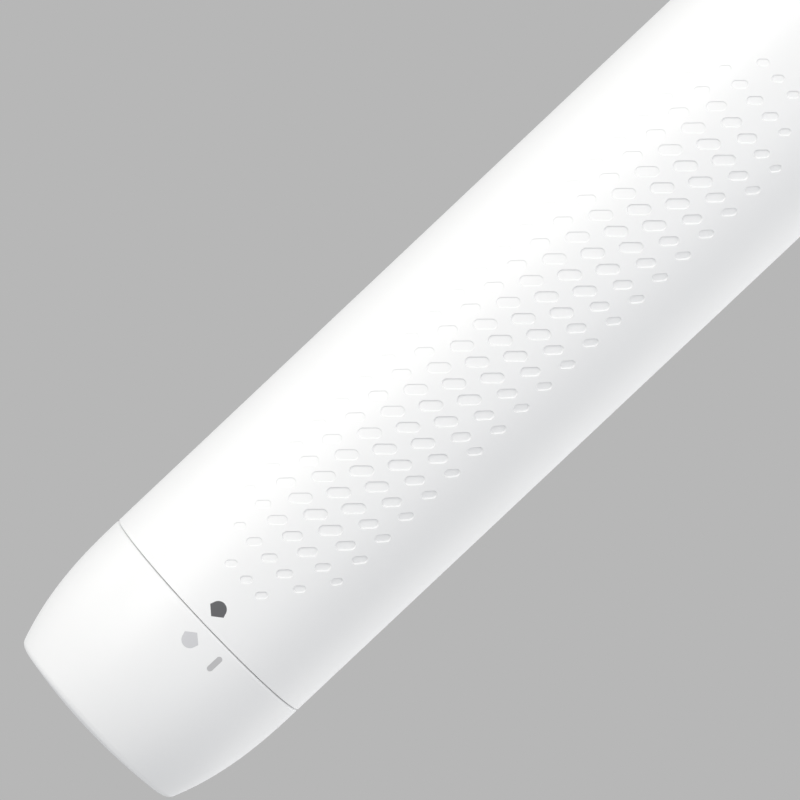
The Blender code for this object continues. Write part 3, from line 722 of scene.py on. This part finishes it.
def make_cap():
    """A barrel that rounds in at its foot, and over its rim to a shallow crown."""
    base = SEAM_GAP
    profile = []
    for k in range(10):
        tilt = math.radians(-90 + 10 * k)
        radius = GRIP_R - CAP_FOOT * (1 - math.cos(tilt))
        profile.append((radius, SEAM_Z + base + CAP_FOOT * (1 + math.sin(tilt)), tilt))
    top = CAP_HEIGHT - CAP_EDGE * 0.8
    for k in range(1, 25):
        height = base + CAP_FOOT + (top - base - CAP_FOOT) * k / 24
        profile.append((cap_radius(height), SEAM_Z + height, cap_tilt(height)))
    start = cap_tilt(top)
    rim = cap_radius(top) - CAP_EDGE * math.cos(start)
    crown = math.atan(2 * CAP_CROWN / rim)
    end = math.pi / 2 - crown
    low = SEAM_Z + top - CAP_EDGE * math.sin(start)
    for k in range(1, 11):
        tilt = start + (end - start) * k / 10
        profile.append((rim + CAP_EDGE * math.cos(tilt), low + CAP_EDGE * math.sin(tilt), tilt))
    edge_r, edge_z, _ = profile[-1]
    rise = SEAM_Z + CAP_HEIGHT + CAP_CROWN - edge_z
    for k in range(11, -1, -1):
        share = k / 12
        tilt = math.pi / 2 - math.atan(2 * rise * share / edge_r)
        profile.append((edge_r * share, edge_z + rise * (1 - share**2), tilt))
    foot = base / MM
    bore = in_metres(
        [(0, 17.6, -90), (12, 17.6, -90), (12, 17.6, 180), (12, 11, 225), (15.3, 10, 180),
         (15.3, foot, 180), (15.3, foot, -90), ((GRIP_R - CAP_FOOT) / MM, foot, -90)],
        SEAM_Z,
    )
    whole = bore + profile
    spin("end_cap_skin", whole, "cap", "white_shell", "end_cap", sides=192)


def drop_outline(radius, reach, point):
    """A disc with a blunt corner towards +1 or -1 along the cane, between two square shoulders."""
    outline = arc(radius, -12, -168, 28)
    shoulders = [(reach * math.cos(math.radians(a)), reach * math.sin(math.radians(a)))
                 for a in (168, 90, 12)]
    for here, after in zip(shoulders, shoulders[1:]):
        outline += [tuple(Vector(here).lerp(Vector(after), k / 6)) for k in range(6)]
    outline.append(shoulders[-1])
    return [(x, y * point) for x, y in outline]


def bar_outline(length, width):
    middle = (length - width) / 2
    top = arc(width / 2, 0, 180, 12, (0, middle))
    bottom = arc(width / 2, 180, 360, 12, (0, -middle))
    return top + bottom


def make_mark(name, outline, angle, height, body, look):
    """An inlay that follows the surface, a hair proud of it, with a soft edge."""
    skin = Skin()
    proud = 0.012 * MM
    sunk = -0.3 * MM
    rings = [(0, sunk, 180), (1, sunk, 180), (1, sunk, 90), (1, 0, 70), (0.985, 0.7 * proud, 35)]
    rings += [(grow, proud, 0) for grow in (0.96, 0.8, 0.6, 0.4, 0.2, 0)]
    skin.bridge_all([mark_ring(skin, outline, angle, height, *ring) for ring in rings])
    return skin.make(f"{name}_inlay", body, look, name)


def mark_ring(skin, outline, angle, height, grow, lift, tilt):
    """The outline at a share of its size, lifted off the surface. Its normals lean outwards by
    tilt, or follow the surface if that is 0."""
    ring = []
    for x, y in outline:
        z = height + y * grow
        radius = cap_radius(z - SEAM_Z) + lift
        side, down = (x, -y) if tilt else (0, -1)
        lean = math.radians(tilt) if tilt else cap_tilt(z - SEAM_Z)
        ring.append(leaning(angle + x * grow / GRIP_R, radius, z, side, down, lean))
    return skin.loop(ring)


def make_marks():
    above = SEAM_Z + 2.64 * MM
    outline = drop_outline(1.1 * MM, 1.28 * MM, 1)
    make_mark("pointer_mark", outline, 0, SEAM_Z - 2.62 * MM, "handle", "dark_ink")
    outline = drop_outline(1.12 * MM, 1.29 * MM, -1)
    make_mark("closed_mark", outline, CLOSED_AT, above + 0.08 * MM, "cap", "grey_ink")
    outline = bar_outline(2.45 * MM, 0.83 * MM)
    make_mark("open_mark", outline, OPEN_AT, above, "cap", "bar_ink")


def make_nose():
    """The cone from the grip down to the shaft, with the spigot that goes up into the shell."""
    end, top = (corner.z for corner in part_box("nose_cone"))
    top -= NOSE_SPIGOT
    tip_r = 11.8 * MM
    edge = 0.6 * MM
    bore = 9.65 * MM
    profile = [(bore, end + edge / 2, math.pi), (bore, end + edge / 2, -math.pi / 2)]
    profile.append((tip_r - edge, end, -math.pi / 2))
    for k in range(5):
        tilt = math.radians(-90 + 18 * k)
        height = end + edge * (1 + math.sin(tilt))
        profile.append((tip_r - edge * (1 - math.cos(tilt)), height, tilt))
    height = top - 0.8 * MM - end
    for k in range(1, 21):
        share = k / 20
        radius, ahead = (
            tip_r + (GRIP_R - tip_r) * math.sin(min(place, 1) * math.pi / 2) ** 1.25
            for place in (share, share + 0.01)
        )
        tilt = -math.atan((ahead - radius) / (0.01 * height)) if k < 20 else 0
        profile.append((radius, end + 0.8 * MM + (height - 0.8 * MM) * share, tilt))
    for k in range(4):
        tilt = math.radians(30 * k)
        radius = GRIP_R - SHELL_EDGE * (1 - math.cos(tilt))
        profile.append((radius, top - SHELL_EDGE * (1 - math.sin(tilt)), tilt))
    spigot = NOSE_SPIGOT / MM
    profile += in_metres(
        [(14.5, 0, 90), (14.5, 0, 0), (14.5, spigot, 0), (14.5, spigot, 90),
         (bore / MM, spigot, 90), (bore / MM, spigot, 180)],
        top,
    )
    profile.append(profile[0])
    spin("nose_cone_skin", profile, "handle", "white_shell", "nose_cone", sides=160)


# Controls on the +Y side


def back_point(x, z, radius, side, up, tilt):
    """A point at x to the side of the +Y line, whose normal leans towards (side, up)."""
    a = back_angle(x, radius)
    return leaning(a, radius, z, side, -up, math.radians(tilt))


def make_round(node, face, rings, body, look, count=72):
    """A round piece on +Y from rings of (radius, depth below its face, tilt, direction), in mm
    and degrees. The direction is 1 where the normal leans outwards and -1 where it leans in."""
    low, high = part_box(node)
    z = (low.z + high.z) / 2
    skin = Skin()
    loops = []
    for radius, below, tilt, sense in rings:
        ring = []
        for i in range(count):
            a = math.tau * i / count
            x, up = math.cos(a), math.sin(a)
            height = z + radius * MM * up
            surface = face - below * MM
            ring.append(back_point(radius * MM * x, height, surface, x * sense, up * sense, tilt))
        loops.append(skin.loop(ring))
    skin.bridge_all(loops)
    skin.make(f"{node}_skin", body, look, node)


def make_button():
    """A dished button with a raised ring and centre pip that a thumb can find."""
    rings = [(0, 5, 180, 1), (6, 5, 180, 1), (6, 5, 90, 1)]
    rings += [(6, 0.35, 88, 1), (5.97, 0.16, 60, 1), (5.86, 0.04, 30, 1), (5.7, 0, 4, 1)]
    rings += [(4.7, 0.04, 2, 1), (4.5, 0.1, 40, -1), (4.2, 0.3, 25, -1), (3.8, 0.38, 8, -1)]
    rings += [(3.0, 0.42, 4, -1), (2.0, 0.43, 0, 1), (1.15, 0.43, 0, 1), (1.05, 0.4, 35, 1)]
    rings += [(0.9, 0.22, 50, 1), (0.6, 0.08, 25, 1), (0.3, 0.04, 8, 1), (0, 0.03, 0, 1)]
    face = GRIP_R - 0.1 * MM
    make_round("power_button", face, rings, "button", "button_grey")


def make_status_light():
    rings = [(0, 4.95, 180, 1), (1.1, 4.95, 180, 1), (1.1, 4.95, 90, 1), (1.1, 0.25, 88, 1)]
    rings += [(1.0, 0.11, 50, 1), (0.7, 0.03, 22, 1), (0.35, 0, 8, 1), (0, 0, 0, 1)]
    face = GRIP_R - 0.05 * MM
    make_round("status_light", face, rings, "handle", "light_pipe", 32)


def make_sensor_cover():
    """A cover flush with the grip. Each half is a sheet between its window and the outline."""
    low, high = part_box("sensor_cover")
    middle = (low.z + high.z) / 2
    radius = (high.x - low.x) / 2
    straight = (high.z - low.z) / 2 - radius
    offset = 8.5 * MM
    window = 4.5 * MM
    outline = [((radius, straight * i / 6), (1, 0)) for i in range(6)]
    outline += [((x * radius, straight + y * radius), (x, y)) for x, y in arc(1, 0, 180, 36)]
    outline += [((-radius, straight * i / 6), (-1, 0)) for i in range(5, -1, -1)]
    outline += [((radius * i / 9, 0), (0, 0)) for i in range(-8, 9)]
    ring = []
    for (x, y), _ in outline:
        out = Vector((x, y - offset)).normalized()
        ring.append((out.x * window, offset + out.y * window, tuple(out)))
    skin = Skin()
    for side in (1, -1):
        add_cover_half(skin, ring, [(x, y, out) for (x, y), out in outline], middle, side)
    skin.make("sensor_cover_skin", "handle", "black_plastic", "sensor_cover")


def add_cover_half(skin, inner, outer, middle, side):
    """The window's wall, the face round it, the outer rim and the back of one half."""
    face = GRIP_R - 0.02 * MM
    back = 15.1 * MM
    loops = []
    window = ((back, 0, 90), (face - 0.5 * MM, 0, 88), (face - 0.12 * MM, 0.03, 55), (face, 0.2, 0))
    for surface, grow, tilt in window:
        ring = []
        for x, y, (ox, oy) in inner:
            px, py = x + ox * grow * MM, y + oy * grow * MM
            ring.append(back_point(px, middle + side * py, surface, -ox, -oy * side, tilt))
        loops.append(skin.loop(ring))
    for k in range(1, 9):
        share = k / 8
        ring = []
        for (x0, y0, (ix, iy)), (x1, y1, (ox, oy)) in zip(inner, outer):
            start = (x0 + ix * 0.2 * MM, y0 + iy * 0.2 * MM)
            end = (x1 - ox * 0.2 * MM, y1 - oy * 0.2 * MM)
            px = start[0] + (end[0] - start[0]) * share
            py = start[1] + (end[1] - start[1]) * share
            ring.append(back_point(px, middle + side * py, face, 0, 1, 0))
        loops.append(skin.loop(ring))
    skin.bridge_all(loops)
    rims = [loops[-1]]
    edge = ((face - 0.06 * MM, 0.06, 45), (face - 0.2 * MM, 0, 88), (back, 0, 90))
    for surface, inset, tilt in edge:
        ring = []
        for x, y, (ox, oy) in outer:
            px, py = x - ox * inset * MM, y - oy * inset * MM
            lean = (surface, ox, oy * side, tilt) if (ox, oy) != (0, 0) else (face, ox, oy, 0)
            ring.append(back_point(px, middle + side * py, *lean))
        rims.append(skin.loop(ring))
    behind = []
    for edge in (inner, outer):
        ring = [back_point(x, middle + side * y, back, 0, 1, 180) for x, y, _ in edge]
        behind.append(skin.loop(ring))
    skin.bridge(*behind)
    joined = [i for i, (_, _, out) in enumerate(outer) if out == (0, 0)]
    for first, second in zip(rims, rims[1:]):
        skin.bridge(first, second, joined)


def make_sensor_cans():
    """A drawn can with a rolled rim round a woven front."""
    half = math.pi / 2
    rim = 0.4 * MM
    for node in ("sensor_transmitter", "sensor_receiver"):
        low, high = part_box(node)
        front = high.y
        radius = (high.z - low.z) / 2
        inside = radius - 2 * rim
        bed = front - 2 * rim
        can = [(0, low.y, -half), (radius, low.y, -half), (radius, low.y, 0),
               (radius, front - rim, 0)]
        can += [(radius - rim + x, front - rim + y, math.atan2(y, x))
                for x, y in arc(rim, 15, 165, 8)]
        can += [(inside, bed, math.pi), (inside, bed, half), (0, bed, half)]
        inside -= 0.02 * MM
        bed += 0.02 * MM
        disc = [(0, bed, -half), (inside, bed, -half), (inside, bed, 0)]
        disc += [(inside, front - 0.7 * MM, 0), (inside, front - 0.7 * MM, half)]
        disc += [(radius * 0.5, front - 0.6 * MM, half), (radius * 0.25, front - 0.55 * MM, half)]
        disc.append((0, front - 0.53 * MM, half))
        about = {"sides": 72, "around": "Y", "at": (low.z + high.z) / 2}
        spin(f"{node}_can", can, "handle", "steel", node, **about)
        spin(f"{node}_front", disc, "handle", "sensor_mesh", **about)


# Shaft


def make_shaft():
    bodies = ["handle", "section_2", "section_3", "section_4"]
    for number, body in enumerate(bodies, 1):
        node = f"shaft_tube_{number}"
        low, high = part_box(node)
        bore = high.x - 0.7 * MM
        corners = [(high.x, low.z, 0.15 * MM), (high.x, high.z, 0.15 * MM),
                   (bore, high.z, 0.1 * MM), (bore, low.z, 0.1 * MM)]
        look = "red_tube" if number == 4 else "white_tube"
        spin(f"{node}_skin", rounded(corners), body, look, node, sides=96)
        if number < 4:
            make_collar(number, body)
    low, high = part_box("reflective_band")
    inner, outer = 9.5 * MM, high.x
    corners = [(outer, low.z, 0.12 * MM), (outer, high.z, 0.12 * MM), (inner, high.z, 0),
               (inner, low.z, 0)]
    profile = rounded(corners)
    spin("reflective_band_skin", profile, "handle", "reflective", "reflective_band", sides=96)


def make_collar(number, body):
    """A fluted twist collar, and the lip of the collet that shows above it."""
    low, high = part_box(f"lock_collar_{number}")
    radius = high.x
    inner_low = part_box(f"shaft_tube_{number + 1}")[1].x + 0.35 * MM
    collet_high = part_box(f"collet_{number}")[1]
    sleeve = collet_high.x
    bore = sleeve + 0.15 * MM
    corners = [
        (radius - 1.7 * MM, low.z, 0.5 * MM),
        (radius - 0.1 * MM, low.z + 4.2 * MM, 1.2 * MM),
        (radius - 0.1 * MM, high.z - 5.2 * MM, 0.4 * MM),
        (radius - 0.75 * MM, high.z - 4.6 * MM, 0.3 * MM),
        (radius - 0.75 * MM, high.z - 3.9 * MM, 0.3 * MM),
        (radius, high.z - 3.3 * MM, 0.4 * MM),
        (radius, high.z, 0.9 * MM),
        (bore, high.z, 0.25 * MM),
        (bore, low.z + 3 * MM, 0),
        (inner_low, low.z + 2 * MM, 0),
        (inner_low, low.z, 0.3 * MM),
    ]
    profile = refined(rounded(corners), long_runs(radius - 0.5 * MM))

    def flutes(angle, z, r):
        if r < radius - 1.3 * MM:
            return 0
        share = (z - low.z - 4.5 * MM) / (high.z - low.z - 10.5 * MM)
        if not 0 < share < 1:
            return 0
        ends = min(1, 6 * share, 6 * (1 - share))
        wave = max(0, math.cos(angle * 16)) ** 0.7
        return -0.55 * MM * math.sqrt(ends) * wave

    node = f"lock_collar_{number}"
    relight(spin(f"{node}_skin", profile, f"collar_{number}", "grey_nylon", node, sides=256,
                 ripple=flutes))
    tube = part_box(f"shaft_tube_{number}")[1].x
    corners = [(sleeve, low.z + 12 * MM, 0), (sleeve, collet_high.z, 0.3 * MM),
               (tube + 0.1 * MM, collet_high.z, 0.2 * MM), (tube + 0.1 * MM, low.z + 12 * MM, 0)]
    node = f"collet_{number}"
    spin(f"{node}_skin", rounded(corners), body, "grey_nylon", node, sides=96)


def refined(profile, parts):
    """Cuts a profile's steps into even parts. parts says how many, for two rows that follow."""
    finer = []
    for here, after in zip(profile, profile[1:] + profile[-1:]):
        finer.append(here)
        count = parts(here, after)
        for k in range(1, count):
            finer.append(tuple(a + (b - a) * k / count for a, b in zip(here, after)))
    return finer


def long_runs(above):
    """For refined: cuts each long run outside a radius, so that flutes can start and end in it."""
    return lambda here, after: (
        24 if min(here[0], after[0]) > above and after[1] - here[1] > 3 * MM else 1
    )


HARD_EDGE = math.radians(42)


def relight(obj):
    """Shades a piece by its own shape again, with hard edges where it turns sharply."""
    mesh = obj.data
    if mesh.attributes.get("custom_normal"):
        mesh.attributes.remove(mesh.attributes["custom_normal"])
    mesh.set_sharp_from_angle(angle=HARD_EDGE)


# Tip


def make_tip():
    low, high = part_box("tip_ferrule")
    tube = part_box("shaft_tube_4")[1].x
    corners = [
        (8.5 * MM, low.z, 0.25 * MM),
        (8.7 * MM, low.z + 0.6 * MM, 0.3 * MM),
        (7.3 * MM, high.z - 2.2 * MM, 2 * MM),
        (7.0 * MM, high.z, 0.7 * MM),
        (tube + 0.1 * MM, high.z, 0.2 * MM),
        (tube + 0.1 * MM, low.z + 2.3 * MM, 0),
        (2.65 * MM, low.z + 2.3 * MM, 0),
        (2.65 * MM, low.z, 0),
    ]

    def ribs(angle, z, r):
        share = (z - low.z - 2 * MM) / (high.z - low.z - 5 * MM)
        if r < 6.5 * MM or not 0 < share < 1:
            return 0
        return -0.35 * MM * max(0, math.cos(angle * 12)) * min(1, 4 * share, 4 * (1 - share))

    profile = refined(rounded(corners), long_runs(6.5 * MM))
    relight(spin("tip_ferrule_skin", profile, "section_4", "grey_nylon", "tip_ferrule",
                 sides=192, ripple=ribs))
    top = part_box("tip_roller")[1].z
    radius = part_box("tip_roller")[1].x
    corners = [
        (4.5 * MM, 0, 0.3 * MM),
        (8.6 * MM, 1.5 * MM, 5 * MM),
        (11.6 * MM, 5.6 * MM, 6 * MM),
        (radius, 14 * MM, 16 * MM),
        (radius, 26 * MM, 14 * MM),
        (12.1 * MM, 32 * MM, 9 * MM),
        (10.1 * MM, 36.6 * MM, 1.2 * MM),
        (8.8 * MM, top, 0.5 * MM),
        (7.8 * MM, top, 0.2 * MM),
        (7.8 * MM, 36 * MM, 0),
        (7.0 * MM, 35.3 * MM, 0),
        (7.0 * MM, 12 * MM, 0),
    ]
    profile = [(0, 0, -math.pi / 2)] + rounded(corners, closed=False, steps=8)
    profile += [(7.0 * MM, 12 * MM, math.pi / 2), (0, 12 * MM, math.pi / 2)]

    def groove(angle, z, r):
        depth = sum(math.exp(-(((z - g * MM) / (0.35 * MM)) ** 2)) for g in (28.5, 30.3))
        return -0.28 * MM * depth if r > 10 * MM else 0

    profile = refined(profile, groove_rows)
    relight(spin("tip_roller_skin", profile, "roller", "roller", "tip_roller", sides=160,
                 ripple=groove))


def groove_rows(here, after):
    """For refined: cuts the roller's side finely round its two grooves."""
    rise = after[1] - here[1]
    near = here[0] > 10 * MM and 21 * MM < here[1] < 32 * MM
    return int(rise / (0.14 * MM)) if near and rise > 0.3 * MM else 1


def dress_inner_nodes():
    """Finishes for the parts inside, which show only through gaps and openings."""
    slots = {s["node"]: s["material_slot"] for s in frame["record"]["subparts"]}
    for name, obj in frame["nodes"].items():
        for place in obj.material_slots:
            place.material = looks[slots[name]]


# Studio


def add_light(name, angle, rise, distance, power, colour):
    """A soft square light, at an angle round the cane and a rise above the grip."""
    data = bpy.data.lights.new(name, "AREA")
    data.size = distance * LIGHT_SPREAD
    data.energy = power
    data.color = colour
    lamp = bpy.data.objects.new(name, data)
    bpy.context.scene.collection.objects.link(lamp)
    a, r = math.radians(angle), math.radians(rise)
    out = Vector((-math.sin(a) * math.cos(r), -math.cos(a) * math.cos(r), math.sin(r)))
    lamp.location = Vector((0, 0, SEAM_Z - 0.05)) + out * distance
    lamp.rotation_euler = (-out).to_track_quat("-Z", "Y").to_euler()


WHITE = (1, 1, 1)
WARM = (1, 0.985, 0.945)
# Name, angle round the cane, rise, distance, power in watts, colour
LIGHTS = [
    ("key", -45, 0, 1.2, 5.95, WARM),
    ("key_wide", -95, 0, 1.2, 2.65, WARM),
    ("front", 30, 0, 1.2, 0.9, WHITE),
    ("front_low", 30, -42, 0.6, 0.53, WHITE),
    ("shade_low", 50, -62, 0.48, 0.34, WHITE),
    ("rim", 120, 0, 1.2, 1.8, WARM),
    ("rim_wide", 150, 0, 1.2, 1.2, WHITE),
    ("top", 150, 70, 1.2, 1.2, WHITE),
]
LOW_LIGHTS = ("front_low", "shade_low")
LIGHT_SPREAD = 0.58  # a light's side against its distance
AMBIENT = (0.975, 0.99, 1.01)
AMBIENT_STRENGTH = 0.565
BACKDROP = 0.4735
FLOOR_R = 1.15
FLOOR_SIDES = 96


def make_world():
    """Even light from all round, and a plain grey where the camera sees past the floor."""
    world = bpy.data.worlds.new("studio")
    bpy.context.scene.world = world
    world.use_nodes = True
    nodes, links = world.node_tree.nodes, world.node_tree.links
    nodes.clear()
    mix = nodes.new("ShaderNodeMixShader")
    shades = ((AMBIENT, AMBIENT_STRENGTH), ((BACKDROP, BACKDROP, BACKDROP), 1))
    for socket, (colour, strength) in enumerate(shades, 1):
        shade = nodes.new("ShaderNodeBackground")
        shade.inputs["Color"].default_value = (*colour, 1)
        shade.inputs["Strength"].default_value = strength
        links.new(shade.outputs["Background"], mix.inputs[socket])
    path = nodes.new("ShaderNodeLightPath")
    links.new(path.outputs["Is Camera Ray"], mix.inputs["Fac"])
    out = nodes.new("ShaderNodeOutputWorld")
    links.new(mix.outputs["Shader"], out.inputs["Surface"])


def make_floor():
    """A round sheet of pale paper under the tip. The low lights beside the cane spare it."""
    mesh = bpy.data.meshes.new("floor")
    turns = [math.tau * i / FLOOR_SIDES for i in range(FLOOR_SIDES)]
    edge = [(FLOOR_R * math.cos(t), FLOOR_R * math.sin(t), 0) for t in turns]
    mesh.from_pydata(edge, [], [tuple(range(FLOOR_SIDES))])
    floor = bpy.data.objects.new("floor", mesh)
    floor.location.z = -0.0003
    bpy.context.scene.collection.objects.link(floor)
    paper = Look("floor_paper", (0.62, 0.62, 0.625), 0.9)
    paper.tint(paper.noise(0.4, 2), (0.61, 0.61, 0.615), (0.63, 0.63, 0.635))
    paper.bump(paper.noise(0.002, 3), 0.00002)
    mesh.materials.append(paper.material)
    spared = bpy.data.collections.new("floor_spared")
    spared.objects.link(floor)
    spared.collection_objects[0].light_linking.link_state = "EXCLUDE"
    for name in LOW_LIGHTS:
        bpy.data.objects[name].light_linking.receiver_collection = spared


def make_studio():
    bpy.context.scene.view_settings.view_transform = "Standard"
    make_world()
    for light in LIGHTS:
        add_light(*light)
    make_floor()


LENS = 499
CAMERA_DISTANCE = 1.4455
CAMERA_TURN = math.radians(1.18)  # round the cane, from -Y
CAMERA_DROP = math.radians(2.7)  # below the point it looks at
TARGET_SIDE = 0.00324
TARGET_BELOW_SEAM = 0.03743
UPRIGHT_SHARES = (-0.72783, -0.68575)  # how much of the cane's upward direction goes right and up


def make_camera():
    """A long lens that looks at the cap's end of the grip, a little from below, with the cane
    across the frame's diagonal and its cap at the lower left."""
    data = bpy.data.cameras.new("camera")
    data.lens = LENS
    data.sensor_width = 36
    data.clip_end = 20
    camera = bpy.data.objects.new("camera", data)
    bpy.context.scene.collection.objects.link(camera)
    out, low = math.cos(CAMERA_DROP), -math.sin(CAMERA_DROP)
    side = Vector((math.cos(CAMERA_TURN), math.sin(CAMERA_TURN), 0))
    back = Vector((side.y * out, -side.x * out, low))
    upright = (Vector((0, 0, 1)) - back * back.z).normalized()
    across, along = UPRIGHT_SHARES
    right = across * upright + along * side
    up = along * upright - across * side
    target = side * TARGET_SIDE + Vector((0, 0, SEAM_Z - TARGET_BELOW_SEAM))
    turned = Matrix((right, up, back)).transposed().to_4x4()
    camera.matrix_world = Matrix.Translation(target + back * CAMERA_DISTANCE) @ turned
    bpy.context.scene.camera = camera


make_camera()
make_studio()
looks = make_looks()
dress_inner_nodes()
make_grip()
make_cap()
make_marks()
make_nose()
make_button()
make_status_light()
make_sensor_cover()
make_sensor_cans()
make_shaft()
make_tip()
